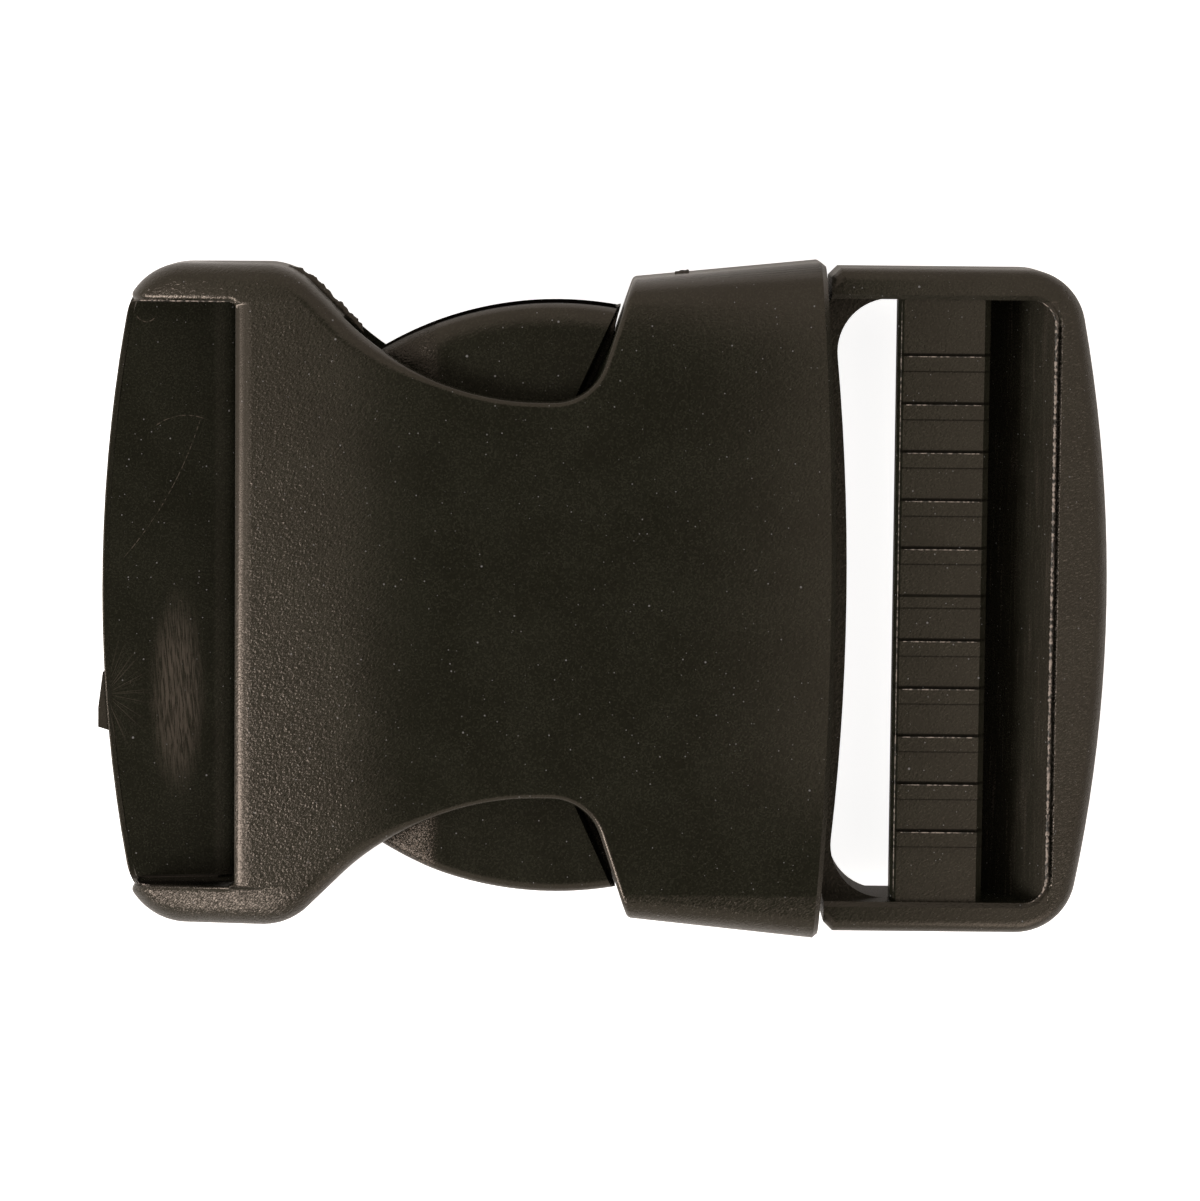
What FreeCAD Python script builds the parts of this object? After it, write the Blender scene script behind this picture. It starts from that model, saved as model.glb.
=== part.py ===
import FreeCAD, Part
import math
import os

# Side-release buckle for 50 mm webbing, lying flat and latched, moulded in black acetal.
# The receiver is the socket half: two panels joined by a collar, with a webbing loop behind them.
# The latch is the plug half: an adjuster frame, a guide tongue and two springing side arms.
# Millimetres. X runs along the webbing from receiver to latch, Y across it and Z up.
# The origin is under the middle of the whole buckle, on the plane it rests on.

V = FreeCAD.Vector
DIAGONAL = math.sqrt(0.5)
FAR = 60.0                # beyond any part of the buckle
OVERLAP = 0.5             # how deep a fused feature is sunk into its neighbour
EPS = 0.02                # tolerance of the tests that pick edges

# Driving dimensions shared by both halves
WEBBING = 50.0            # webbing that the buckle is sized for
WEBBING_PLAY = 0.4        # spare width in the receiver's loop
HEIGHT = 13.5             # overall thickness
MIDDLE = HEIGHT / 2       # plane that both halves are symmetric about
PANEL = 2.2               # wall of the receiver's top and bottom panels
CLEARANCE = 0.35          # running gap between the halves
IN_Z = (PANEL + CLEARANCE, HEIGHT - PANEL - CLEARANCE)    # what slides inside the panels

# Receiver, seen from above
LOOP_X = -43.2            # outermost point of the bowed webbing loop
LOOP_BOW_R = 138.6
EAR_HALF = 28.55          # half width over the ears that carry the loop
EAR_R = 5.6
NECK_X = -5.3             # narrowest place, between the two windows
NECK_HALF = 17.05
WAIST_R = 23.8            # long curve from the ears to the neck
THROAT_X = -4.1
THROAT_R = 4.5            # tight curve from the neck to the collar
COLLAR_LEAN = math.radians(71.6)
COLLAR_HALF = 27.5        # half width where the collar begins
MOUTH_X = 20.15           # bowed rim of the collar, at its middle
MOUTH_BOW_R = 358.0
MOUTH_HALF = 29.15
MOUTH_RIM_X = 17.5        # edges beyond this belong to the mouth's rim
COLLAR_END_X = 3.2        # and edges short of this to the outline behind the collar
LIP_X = -31.35            # edge of the top panel, over the webbing slot
WEB_SLOT_X = -26.6        # wall behind the webbing slot
RECESS_CORNER_R = 0.5

# Fall of the panels towards the loop: flat, then a bend, then a slope
TAPER_X = -13.5           # the bend starts here
SLOPE_X = NECK_X - WAIST_R * DIAGONAL    # and the slope here, where the waist ends
SLOPE = math.radians(7.5)
BEND_R = (TAPER_X - SLOPE_X) / math.sin(SLOPE)

# Rounding of the receiver's edges
EAR_EDGE_R = 1.5          # along the ears, shrinking round the waist
NECK_EDGE_R = 0.5         # at the neck, the throat and the collar's slanted edge
SIDE_EDGE_R = 2.0         # along the collar's sides
MOUTH_BEVEL = 0.4
LIP_EDGE_R = 0.55         # along the lip and the inner edges of the ears

# Receiver, inside
CAVITY_X = -24.6
CAVITY_HALF = 19.5        # half width at the closed end, behind the arms
WINDOW = (-22.2, 22.8)    # where the side window begins
CATCH_HALF = 22.6         # inner half width at the catch that holds the arms
CATCH_X = (0.5, 5.0)
BORE_HALF = 26.4          # inner half width at the mouth
BORE_X = 14.0             # the bore is nearly straight from here
BORE_TAPER = 0.4
GUIDE_Y = 5.3             # ribs that the tongue runs between
GUIDE_W = 1.2
GUIDE_H = 2.2
GUIDE_X = (-21.0, 16.8)

# Webbing loop bar, as a section along X
LOOP_TOP = ((-43.5, 7.46), (-33.8, 5.5))
LOOP_NOSE = (-31.3, 4.3)
LOOP_END = (-30.8, 3.2)
LOOP_BOTTOM = ((-31.8, 1.9), (-43.5, 3.95))
LOOP_BEVEL = 0.6
GATE = ((-42.4, -6.9), (-43.2, -7.2), (-43.6, -10.3), (-43.6, -12.0), (-42.3, -12.4))
GATE_Z = (4.85, 6.45)     # moulding gate's stub on the loop bar

# Latch frame
BASE_X = 18.0             # left face of the base, where the arms spring from
BASE_HALF = 25.75
BASE_END_X = 20.8         # bowed right face of the base
WEB_END_X = 21.3          # bowed edge of the lower web, along the first webbing slot
WEB_BOW_R = 208.0
WEB_Z = (3.2, 8.6)
GUSSET_R = 4.6            # rounded corners of the web
BAR_X = (25.3, 33.2)      # ribbed middle bar
BAR_Z = (7.0, 10.7)
LIP2_X = 38.9             # inner edge of the end bar
RAIL_HALF = (26.0, 28.65)
RAIL_X = 19.55
RAIL_BEVEL = 0.8
FRAME_Z = (2.0, 11.5)
FRAME_END_X = 43.58
FRAME_BOW_R = 128.7
FRAME_CORNER_R = 5.2
FRAME_EDGE_R = 1.1
FRAME_BEVEL = 0.8
FRAME_INNER_BEVEL = 0.4
INNER_CORNER_R = 2.2
TOE = (33.5, 3.8)         # foot of the sloping inner wall of the end bar
TOE_CURL = (0.75, 0.9)
CORE_X = (36.4, 40.6)     # cored underside of the end bar
CORE_TOP = 7.6
CORE_HALF = 22.0
CORE_CELLS = 5
CORE_RIB = 1.4
RIB_PITCH = 4.14
RIB_W = 1.3
RIB_H = 0.3
RIBS_PER_SIDE = 5
FIRST_RIB_Y = 3.97
BAR_EDGE = (0.5, 0.7, 0.8)    # bevels of the bar: top, top edge down the side, underside

# Guide tongue
TONGUE_X = -20.6
TONGUE_HALF = 4.9
TONGUE_FLANGE = 1.3
TONGUE_WEB_Z = (5.0, 8.5)
TONGUE_TIP = 3.0
TONGUE_FOOT = 2.0

# Side arms
ARM_Y = (19.0, 21.3)      # spring stem, inner and outer face
ARM_ROOT_Y = (ARM_Y[0] + ARM_Y[1]) / 2
ARM_ROOT_R = 1.25
PAD_APEX = (-3.8, 25.5)
PAD_R = 30.0
PAD_TIP_X = -19.4
PAD_INNER_MIDDLE = (-9.0, 17.2)    # inner face of the pad: its middle, its end and the nose beyond
PAD_INNER_END = (-19.0, 18.2)
PAD_NOSE = (-20.6, 19.6)
STEM_X = 0.0              # where the spring joins the pad
HEEL_Y = 25.2
HEEL_STEP = 0.3
HEEL_GAP = 0.3            # play between heel and catch
RAMP_X = -14.2            # the pad thins from here to its tip
RAMP_END_X = -25.0
RAMP_DROP = 2.8
PAD_BEVEL = 1.3


def edges_of(start, moves):
    """Edges from start; a move is the end of a line, or the middle and end of an arc."""
    edges = []
    here = V(*start)
    for move in moves:
        if isinstance(move[0], tuple):
            end = V(*move[1])
            edges.append(Part.Arc(here, V(*move[0]), end).toShape())
        else:
            end = V(*move)
            edges.append(Part.LineSegment(here, end).toShape())
        here = end
    return edges


def closed_face(start, *moves):
    """Flat face inside a run of lines and arcs, closed by a line where it doesn't end at its start."""
    edges = edges_of(start, moves)
    last = edges[-1].lastVertex(True).Point
    if last.distanceToPoint(V(*start)) > 1e-6:
        edges.append(Part.LineSegment(last, V(*start)).toShape())
    return Part.Face(Part.Wire(edges))


def mirrored_face(start, *moves):
    """Flat face symmetric about X, from its edges at positive Y."""
    half = edges_of(start, moves)
    other = [edge.mirror(V(0, 0, 0), V(0, 1, 0)) for edge in reversed(half)]
    return Part.Face(Part.Wire(half + other))


def prism(face, low, high):
    """Solid over a plan face between two heights."""
    return face.translated(V(0, 0, low)).extrude(V(0, 0, high - low))


def along_y(face, low, high):
    """Solid from a side section, drawn with Z as its second number, between two Y places."""
    upright = face.rotated(V(0, 0, 0), V(1, 0, 0), 90)
    return upright.translated(V(0, low, 0)).extrude(V(0, high - low, 0))


def block(x, y, z):
    """Box between pairs of X, Y and Z."""
    corner = V(x[0], y[0], z[0])
    return Part.makeBox(x[1] - x[0], y[1] - y[0], z[1] - z[0], corner)


def flip_y(shape):
    """The same shape on the other side of the middle."""
    return shape.mirror(V(0, 0, 0), V(0, 1, 0))


def flip_z(shape):
    """The same shape upside down, in the other half of the thickness."""
    return shape.mirror(V(0, 0, MIDDLE), V(0, 0, 1))


def upright(edge):
    """Whether an edge stands along Z."""
    return edge.BoundBox.XLength < EPS and edge.BoundBox.YLength < EPS


def rounded(shape, radius, wanted):
    """Shape with the edges that the test picks rounded."""
    return shape.makeFillet(radius, [edge for edge in shape.Edges if wanted(edge)])


def bevelled(shape, width, wanted):
    """Shape with the edges that the test picks bevelled."""
    return shape.makeChamfer(width, [edge for edge in shape.Edges if wanted(edge)])


def rounded_along(shape, radius_at, wanted):
    """Shape with the edges that the test picks rounded by a radius that follows their place."""
    picked = []
    for number, edge in enumerate(shape.Edges, start=1):
        if wanted(edge):
            first = edge.valueAt(edge.FirstParameter)
            last = edge.valueAt(edge.LastParameter)
            picked.append((number, radius_at(first), radius_at(last)))
    document = FreeCAD.newDocument("rounding")
    base = document.addObject("Part::Feature", "base")
    base.Shape = shape
    fillet = document.addObject("Part::Fillet", "fillet")
    fillet.Base = base
    fillet.Edges = picked
    document.recompute()
    result = fillet.Shape.copy()
    FreeCAD.closeDocument(document.Name)
    return result


def on_circle(centre, radius, angle):
    """Point of a circle at an angle in radians."""
    return (centre[0] + radius * math.cos(angle), centre[1] + radius * math.sin(angle))


def bow_x(apex, radius, y):
    """Place along X of a bowed end at a given Y; a negative radius bows the other way."""
    return apex - radius + math.copysign(math.sqrt(radius ** 2 - y ** 2), radius)


def bow_arc(apex, radius, y):
    """Middle and end of the bowed end's arc from Y to the middle of the buckle."""
    return (bow_x(apex, radius, y / 2), y / 2), (apex, 0)


def bow_corner(apex, radius, half, corner_r):
    """Start, middle and end of the arc that joins a side to a bowed end at positive X."""
    bow_centre = apex - radius
    centre_y = half - corner_r
    centre_x = bow_centre + math.sqrt((radius - corner_r) ** 2 - centre_y ** 2)
    end_angle = math.atan2(centre_y, centre_x - bow_centre)
    middle = on_circle((centre_x, centre_y), corner_r, (end_angle + math.pi / 2) / 2)
    end = on_circle((bow_centre, 0), radius, end_angle)
    return (centre_x, half), middle, end


def taper_drop(x):
    """How far the top surface has fallen at x."""
    bent = min(max(TAPER_X - x, 0.0), TAPER_X - SLOPE_X)
    straight = max(SLOPE_X - x, 0.0)
    return BEND_R - math.sqrt(BEND_R ** 2 - bent ** 2) + straight * math.tan(SLOPE)


# Receiver ------------------------------------------------------------------------------------

def receiver_plan():
    """Outline of the receiver: loop, ears, waist, throat and collar."""
    waist = (SLOPE_X, NECK_HALF + WAIST_R * (1 - DIAGONAL))
    waist_middle = on_circle((NECK_X, NECK_HALF + WAIST_R), WAIST_R, math.radians(247.5))
    shoulder_y = EAR_HALF - EAR_R * (1 - DIAGONAL)
    shoulder_x = waist[0] + waist[1] - shoulder_y
    ear_centre = (shoulder_x - EAR_R * DIAGONAL, EAR_HALF - EAR_R)
    throat = (THROAT_X, NECK_HALF + THROAT_R)
    throat_end_angle = COLLAR_LEAN - math.pi / 2
    throat_end = on_circle(throat, THROAT_R, throat_end_angle)
    throat_middle = on_circle(throat, THROAT_R, (throat_end_angle - math.pi / 2) / 2)
    collar_x = throat_end[0] + (COLLAR_HALF - throat_end[1]) / math.tan(COLLAR_LEAN)
    ear_start, ear_middle, ear_end = bow_corner(-LOOP_X, LOOP_BOW_R, EAR_HALF, EAR_R)
    return mirrored_face(
        (LOOP_X, 0),
        ((bow_x(LOOP_X, -LOOP_BOW_R, ear_end[1] / 2), ear_end[1] / 2), (-ear_end[0], ear_end[1])),
        ((-ear_middle[0], ear_middle[1]), (-ear_start[0], ear_start[1])),
        (ear_centre[0], EAR_HALF),
        (on_circle(ear_centre, EAR_R, math.radians(67.5)), (shoulder_x, shoulder_y)),
        waist,
        (waist_middle, (NECK_X, NECK_HALF)),
        (THROAT_X, NECK_HALF),
        (throat_middle, throat_end),
        (collar_x, COLLAR_HALF),
        (bow_x(MOUTH_X, MOUTH_BOW_R, MOUTH_HALF), MOUTH_HALF),
        bow_arc(MOUTH_X, MOUTH_BOW_R, MOUTH_HALF),
    )


def upper_space():
    """Space from the middle plane up to the receiver's top surface, at positive Y."""
    half = (TAPER_X + SLOPE_X) / 2
    section = closed_face(
        (FAR, MIDDLE), (FAR, HEIGHT), (TAPER_X, HEIGHT),
        ((half, HEIGHT - taper_drop(half)), (SLOPE_X, HEIGHT - taper_drop(SLOPE_X))),
        (-FAR, HEIGHT - taper_drop(-FAR)), (-FAR, MIDDLE),
    )
    return along_y(section, 0, FAR)


def receiver_quarter():
    """Upper half of one side of the receiver, with its outer edges rounded."""
    def side(edge):
        box = edge.BoundBox
        return box.ZMin > HEIGHT - EPS and box.YMin > COLLAR_HALF - EPS

    def rim_radius(place):
        share = (place.x - SLOPE_X) / (TAPER_X - SLOPE_X)
        return EAR_EDGE_R + min(max(share, 0.0), 1.0) * (NECK_EDGE_R - EAR_EDGE_R)

    def rim(edge):
        box = edge.BoundBox
        outside = box.YMax > EPS and box.ZMax > MIDDLE + EPS
        across = box.XLength < EPS and box.YMin < EPS
        collar = upright(edge) and box.YMin > COLLAR_HALF - EPS
        return outside and not across and box.XMax < COLLAR_END_X and (collar or not upright(edge))

    def mouth(edge):
        box = edge.BoundBox
        ahead = box.XMin > MOUTH_RIM_X and box.ZMax > MIDDLE + EPS and box.YMax > EPS
        return ahead and not (box.YMin < EPS and box.ZMin < MIDDLE + EPS)

    quarter = prism(receiver_plan(), 0, HEIGHT).common(upper_space()).removeSplitter()
    quarter = rounded(quarter, SIDE_EDGE_R, side)
    quarter = rounded_along(quarter, rim_radius, rim)
    return bevelled(quarter, MOUTH_BEVEL, mouth)


def receiver_blank():
    """Outer form of the receiver, before anything is cut out of it."""
    quarter = receiver_quarter()
    upper = quarter.fuse(flip_y(quarter))
    return upper.fuse(flip_z(upper)).removeSplitter()


def cavity_plan():
    """Room inside the panels: open at the windows, and lined by the catches and the mouth."""
    return mirrored_face(
        (CAVITY_X, 0), (CAVITY_X, CAVITY_HALF), WINDOW, (WINDOW[0], FAR), (CATCH_X[0], FAR),
        (CATCH_X[0], CATCH_HALF), (CATCH_X[1], CATCH_HALF), (BORE_X, BORE_HALF - BORE_TAPER),
        (MOUTH_X + OVERLAP, BORE_HALF), (MOUTH_X + OVERLAP, 0),
    )


def webbing_recess():
    """Cut that opens the webbing loop from above, with round corners."""
    half = (WEBBING + WEBBING_PLAY) / 2
    corner = (LIP_X - RECESS_CORNER_R, half - RECESS_CORNER_R)
    middle = on_circle(corner, RECESS_CORNER_R, math.pi / 4)
    plan = mirrored_face((-FAR, 0), (-FAR, half), (corner[0], half), (middle, (LIP_X, corner[1])),
                         (LIP_X, 0))
    return prism(plan, 0.0, HEIGHT)


def webbing_slot():
    """Cut for the webbing behind the loop bar, under the lip."""
    half = (WEBBING + WEBBING_PLAY) / 2
    left = LIP_X - RECESS_CORNER_R - OVERLAP
    ceiling = HEIGHT - PANEL
    section = closed_face(
        (WEB_SLOT_X, 0.0), (WEB_SLOT_X, ceiling - taper_drop(WEB_SLOT_X)),
        (left, ceiling - taper_drop(left)), (left, 0.0),
    )
    return along_y(section, -half, half)


def loop_bar():
    """Wedge-shaped bar that the sewn end of the webbing goes round."""
    def outer_edge(edge):
        box = edge.BoundBox
        return box.XMax < LOOP_X + 2 * EAR_R and box.YLength > WEBBING / 4 and box.XLength > EPS

    section = closed_face(LOOP_TOP[0], LOOP_TOP[1], (LOOP_NOSE, LOOP_END), *LOOP_BOTTOM)
    bar = along_y(section, -EAR_HALF + EAR_EDGE_R, EAR_HALF - EAR_EDGE_R)
    bar = bar.common(prism(receiver_plan(), 0, HEIGHT))
    bar = bevelled(bar, LOOP_BEVEL, outer_edge)
    return bar.fuse(prism(closed_face(*GATE), *GATE_Z))


def guide_ribs():
    """Ribs on both panels that keep the tongue in line."""
    low_rib = block(GUIDE_X, (GUIDE_Y, GUIDE_Y + GUIDE_W), (PANEL, PANEL + GUIDE_H))
    return [low_rib, flip_y(low_rib), flip_z(low_rib), flip_z(flip_y(low_rib))]


def receiver_body():
    """Socket half, one moulding."""
    def lip(edge):
        box = edge.BoundBox
        inside = box.YMax < EAR_HALF - EAR_EDGE_R and box.YMin > EAR_EDGE_R - EAR_HALF
        return inside and box.XMax < LIP_X + EPS and box.ZMin > MIDDLE and not upright(edge)

    body = receiver_blank()
    body = body.cut(prism(cavity_plan(), PANEL, HEIGHT - PANEL))
    body = body.cut(webbing_recess())
    body = rounded(body, LIP_EDGE_R, lip)
    body = body.cut(webbing_slot())
    return body.multiFuse([loop_bar()] + guide_ribs()).removeSplitter()


# Latch ---------------------------------------------------------------------------------------

def frame_plan():
    """Outline of the adjuster frame outside the collar."""
    start, middle, end = bow_corner(FRAME_END_X, FRAME_BOW_R, RAIL_HALF[1], FRAME_CORNER_R)
    return mirrored_face(
        (RAIL_X, 0), (RAIL_X, RAIL_HALF[1] - RAIL_BEVEL), (RAIL_X + RAIL_BEVEL, RAIL_HALF[1]),
        start, (middle, end), bow_arc(FRAME_END_X, FRAME_BOW_R, end[1]),
    )


def frame_blank():
    """Outer form of the frame: rounded along its top rim and bevelled along its bottom one."""
    def rim(edge, height):
        box = edge.BoundBox
        return box.ZLength < EPS and abs(box.ZMin - height) < EPS and box.XLength > EPS

    blank = prism(frame_plan(), *FRAME_Z)
    blank = rounded(blank, FRAME_EDGE_R, lambda edge: rim(edge, FRAME_Z[1]))
    return bevelled(blank, FRAME_BEVEL, lambda edge: rim(edge, FRAME_Z[0]))


def end_wall():
    """Sloping inner wall of the end bar, which runs down under the middle bar."""
    low = FRAME_Z[0]
    high = FRAME_Z[1] - FRAME_INNER_BEVEL
    back = LIP2_X + OVERLAP
    curl = (TOE[0] - TOE_CURL[0], TOE[1] - TOE_CURL[1])
    section = closed_face((LIP2_X, high), TOE, (curl, (TOE[0], low)), (back, low), (back, high))
    return along_y(section, -RAIL_HALF[0], RAIL_HALF[0])


def end_cores():
    """Cells cored out of the end bar from below, with ribs left between them."""
    section = closed_face((CORE_X[0], 0.0), (CORE_X[0], FRAME_Z[0]), (CORE_X[1], CORE_TOP),
                          (CORE_X[1], 0.0))
    pitch = 2 * CORE_HALF / CORE_CELLS
    cells = []
    for step in range(CORE_CELLS):
        low = -CORE_HALF + step * pitch + CORE_RIB / 2
        cells.append(along_y(section, low, low + pitch - CORE_RIB))
    return cells


def latch_ring():
    """Rails and end bar."""
    def far_corner(edge):
        return upright(edge) and edge.BoundBox.XMin > LIP2_X - EPS

    def inner_rim(edge):
        box = edge.BoundBox
        inside = box.XMax < LIP2_X + EPS and max(abs(box.YMin), abs(box.YMax)) < RAIL_HALF[0] + EPS
        return inside and box.ZMin > FRAME_Z[1] - EPS

    hole = block((0.0, LIP2_X), (-RAIL_HALF[0], RAIL_HALF[0]), (0.0, HEIGHT))
    ring = frame_blank().cut(rounded(hole, INNER_CORNER_R, far_corner))
    ring = bevelled(ring, FRAME_INNER_BEVEL, inner_rim).fuse(end_wall())
    for cell in end_cores():
        ring = ring.cut(cell)
    return ring


def lower_web():
    """Web along the first slot, bowed, with a round corner at each rail."""
    bow_centre = WEB_END_X - WEB_BOW_R
    corner_y = RAIL_HALF[0] - GUSSET_R
    corner = (bow_centre + math.sqrt((WEB_BOW_R + GUSSET_R) ** 2 - corner_y ** 2), corner_y)
    lean = math.atan2(corner_y, corner[0] - bow_centre)
    middle = on_circle(corner, GUSSET_R, (1.5 * math.pi + lean) / 2)
    bow_end = on_circle((bow_centre, 0), WEB_BOW_R, lean)
    plan = mirrored_face(
        (BASE_X + OVERLAP, 0), (BASE_X + OVERLAP, BASE_HALF), (RAIL_X, BASE_HALF),
        (RAIL_X, RAIL_HALF[0] + OVERLAP), (corner[0], RAIL_HALF[0] + OVERLAP),
        (corner[0], RAIL_HALF[0]), (middle, bow_end), bow_arc(WEB_END_X, WEB_BOW_R, bow_end[1]),
    )
    return prism(plan, *WEB_Z)


def middle_bar():
    """Bar that the webbing is pulled tight over, with grip ribs along X."""
    left, right = BAR_X
    low, high = BAR_Z
    in_top, down_top, under = BAR_EDGE
    section = closed_face(
        (left, low + under), (left, high - down_top), (left + in_top, high),
        (right - in_top, high), (right, high - in_top), (right, low + under),
        (right - under, low), (left + under, low),
    )
    bar = along_y(section, -RAIL_HALF[0] - OVERLAP, RAIL_HALF[0] + OVERLAP)
    ribs = []
    for side in (1, -1):
        for step in range(RIBS_PER_SIDE):
            y = side * (FIRST_RIB_Y + step * RIB_PITCH)
            ribs.append(block((left + in_top, right - in_top), (y - RIB_W / 2, y + RIB_W / 2),
                              (high - OVERLAP, high + RIB_H)))
    return bar.multiFuse(ribs)


def arm_root(side):
    """Round root of an arm, about the line that the arm bends around."""
    return Part.makeCylinder(ARM_ROOT_R, IN_Z[1] - IN_Z[0], V(BASE_X, side * ARM_ROOT_Y, IN_Z[0]))


def latch_base():
    """Crosswise base inside the collar, which the arms and the tongue spring from."""
    base_end = (bow_x(BASE_END_X, WEB_BOW_R, BASE_HALF), BASE_HALF)
    plan = mirrored_face((BASE_X, 0), (BASE_X, BASE_HALF), base_end,
                         bow_arc(BASE_END_X, WEB_BOW_R, BASE_HALF))
    return prism(plan, *IN_Z)


def latch_frame():
    """Plug half without its tongue and arms, with seats for the arms' roots."""
    inside = latch_base().fuse(lower_web())
    for side in (1, -1):
        inside = inside.cut(arm_root(side))
    return latch_ring().multiFuse([inside, middle_bar()]).removeSplitter()


def guide_tongue():
    """Centre tongue, an H in section, that keeps the halves in line."""
    tip_in = TONGUE_TIP * (1 - DIAGONAL)
    plan = mirrored_face((TONGUE_X, 0), (TONGUE_X, TONGUE_HALF - TONGUE_TIP),
                         ((TONGUE_X + tip_in, TONGUE_HALF - tip_in), (TONGUE_X + TONGUE_TIP, TONGUE_HALF)),
                         (BASE_X, TONGUE_HALF), (BASE_X, 0))
    inside = (-TONGUE_HALF + TONGUE_FLANGE, TONGUE_HALF - TONGUE_FLANGE)
    along = (TONGUE_X + TONGUE_TIP, BASE_X - TONGUE_FOOT)
    top = block(along, inside, (TONGUE_WEB_Z[1], HEIGHT))
    bottom = block(along, inside, (0.0, TONGUE_WEB_Z[0]))
    return prism(plan, *IN_Z).cut(top).cut(bottom)


def catch_x(y):
    """Where the collar's catch face stands at a given half width."""
    throat = (THROAT_X, NECK_HALF + THROAT_R)
    start = on_circle(throat, THROAT_R, COLLAR_LEAN - math.pi / 2)
    return start[0] + (y - start[1]) / math.tan(COLLAR_LEAN)


def pad_y(x):
    """Half width of the finger pad's outer face."""
    return PAD_APEX[1] - PAD_R + math.sqrt(PAD_R ** 2 - (x - PAD_APEX[0]) ** 2)


def arm_spring():
    """Thin stem that bends when the pad is pressed."""
    return block((STEM_X, BASE_X), ARM_Y, IN_Z).fuse(arm_root(1)).removeSplitter()


def pad_plan():
    """Outline of the finger pad, from its tip round its outer face to the heel and the stem."""
    heel_root_y = ARM_Y[1] + HEEL_STEP
    tip = (PAD_TIP_X, pad_y(PAD_TIP_X))
    half = (PAD_TIP_X + PAD_APEX[0]) / 2
    return closed_face(
        tip, ((half, pad_y(half)), (catch_x(HEEL_Y) - HEEL_GAP, HEEL_Y)),
        (catch_x(heel_root_y) - HEEL_GAP, heel_root_y), (STEM_X, ARM_Y[1]), (STEM_X, ARM_Y[0]),
        (PAD_INNER_MIDDLE, PAD_INNER_END), (PAD_NOSE, tip),
    )


def arm_head():
    """Finger pad with the heel that catches behind the collar."""
    def outer_rim(edge):
        box = edge.BoundBox
        return box.ZLength < EPS and box.XLength > PAD_R / 3 and box.YMax > HEEL_Y - EPS

    head = bevelled(prism(pad_plan(), *IN_Z), PAD_BEVEL, outer_rim)
    slant = closed_face((RAMP_X, IN_Z[1]), (RAMP_END_X, IN_Z[1] - RAMP_DROP),
                        (RAMP_END_X, FAR), (RAMP_X, FAR))
    ramp = along_y(slant, 0, FAR)
    return head.cut(ramp).cut(flip_z(ramp))


def build_nodes():
    """Every node of the buckle by name."""
    spring = arm_spring()
    head = arm_head()
    return {
        "receiver_body": receiver_body(),
        "latch_frame": latch_frame(),
        "guide_tongue": guide_tongue(),
        "upper_arm_spring": spring,
        "upper_arm_head": head,
        "lower_arm_spring": flip_y(spring),
        "lower_arm_head": flip_y(head),
    }


os.makedirs("parts", exist_ok=True)
for name, shape in build_nodes().items():
    shape.exportStep("parts/" + name + ".step")
    state = "valid" if shape.isValid() else "BROKEN"
    print(name, len(shape.Solids), "solid", round(shape.Volume), "mm3", state)
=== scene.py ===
# %% [markdown]
# A side-release buckle for 50 mm webbing, lying flat and latched, as it comes out of the bag.
# On the real object there are two mouldings of black acetal: a socket half and a plug half.
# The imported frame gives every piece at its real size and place, so this script adds what the
# eye sees on them: the moulded surface, its wear, the light and the view from above.
# The X axis runs along the webbing from the socket half to the plug half, and Z points up.

# %% Load the frame
import math

import bmesh
import bpy
from mathutils import Matrix, Vector


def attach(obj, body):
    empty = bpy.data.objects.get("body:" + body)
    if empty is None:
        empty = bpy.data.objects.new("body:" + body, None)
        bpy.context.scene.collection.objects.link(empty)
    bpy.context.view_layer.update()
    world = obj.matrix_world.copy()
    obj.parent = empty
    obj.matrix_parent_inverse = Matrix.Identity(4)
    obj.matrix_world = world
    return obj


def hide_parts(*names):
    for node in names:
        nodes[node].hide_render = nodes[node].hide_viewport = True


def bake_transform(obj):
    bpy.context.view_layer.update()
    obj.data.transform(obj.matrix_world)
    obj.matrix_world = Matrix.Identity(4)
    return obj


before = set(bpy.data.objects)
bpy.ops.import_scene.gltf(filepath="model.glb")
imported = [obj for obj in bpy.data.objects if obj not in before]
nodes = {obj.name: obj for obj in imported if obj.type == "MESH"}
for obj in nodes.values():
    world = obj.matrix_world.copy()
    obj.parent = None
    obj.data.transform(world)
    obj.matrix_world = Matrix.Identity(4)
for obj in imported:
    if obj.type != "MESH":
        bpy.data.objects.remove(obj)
scene = bpy.context.scene
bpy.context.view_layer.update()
MM = 0.001

# %% [markdown]
# All colours below are written as hex values, as a paint card gives them. Blender's shaders want
# linear light, so one small function turns the one into the other. A second one adds a shader or
# geometry node together with its settings and its links, so that a material reads from top to
# bottom like a recipe.

# %% Colour and node helpers
def colour(code):
    """Linear RGBA of an sRGB hex colour such as '#1c1a15'."""
    channels = [int(code[i:i + 2], 16) / 255 for i in (1, 3, 5)]
    linear = [c / 12.92 if c <= 0.04045 else ((c + 0.055) / 1.055) ** 2.4 for c in channels]
    return (*linear, 1.0)


def add_node(tree, kind, links=None, **settings):
    """A node with its settings; in links, a socket is connected and anything else is a value."""
    node = tree.nodes.new(kind)
    for name, value in settings.items():
        setattr(node, name, value)
    for name, value in (links or {}).items():
        if isinstance(value, bpy.types.NodeSocket):
            tree.links.new(value, node.inputs[name])
        else:
            node.inputs[name].default_value = value
    return node


# %% [markdown]
# The photograph looks down on the buckle from a little behind its far side, with a long lens.
# A camera is placed by the point that it looks at, its distance and its lean. The roll turns the
# picture, not the buckle, so it is the last turn, about the camera's own axis.

# %% Camera
EYE_DISTANCE = 0.420
EYE_LEAN = math.radians(5.54)
EYE_ROLL = math.radians(0.55)
AIM = (0.0, -0.5 * MM, 6.75 * MM)
FIELD_WIDTH = 104.15 * MM     # what the picture's width takes in at the height of the aim

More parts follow.
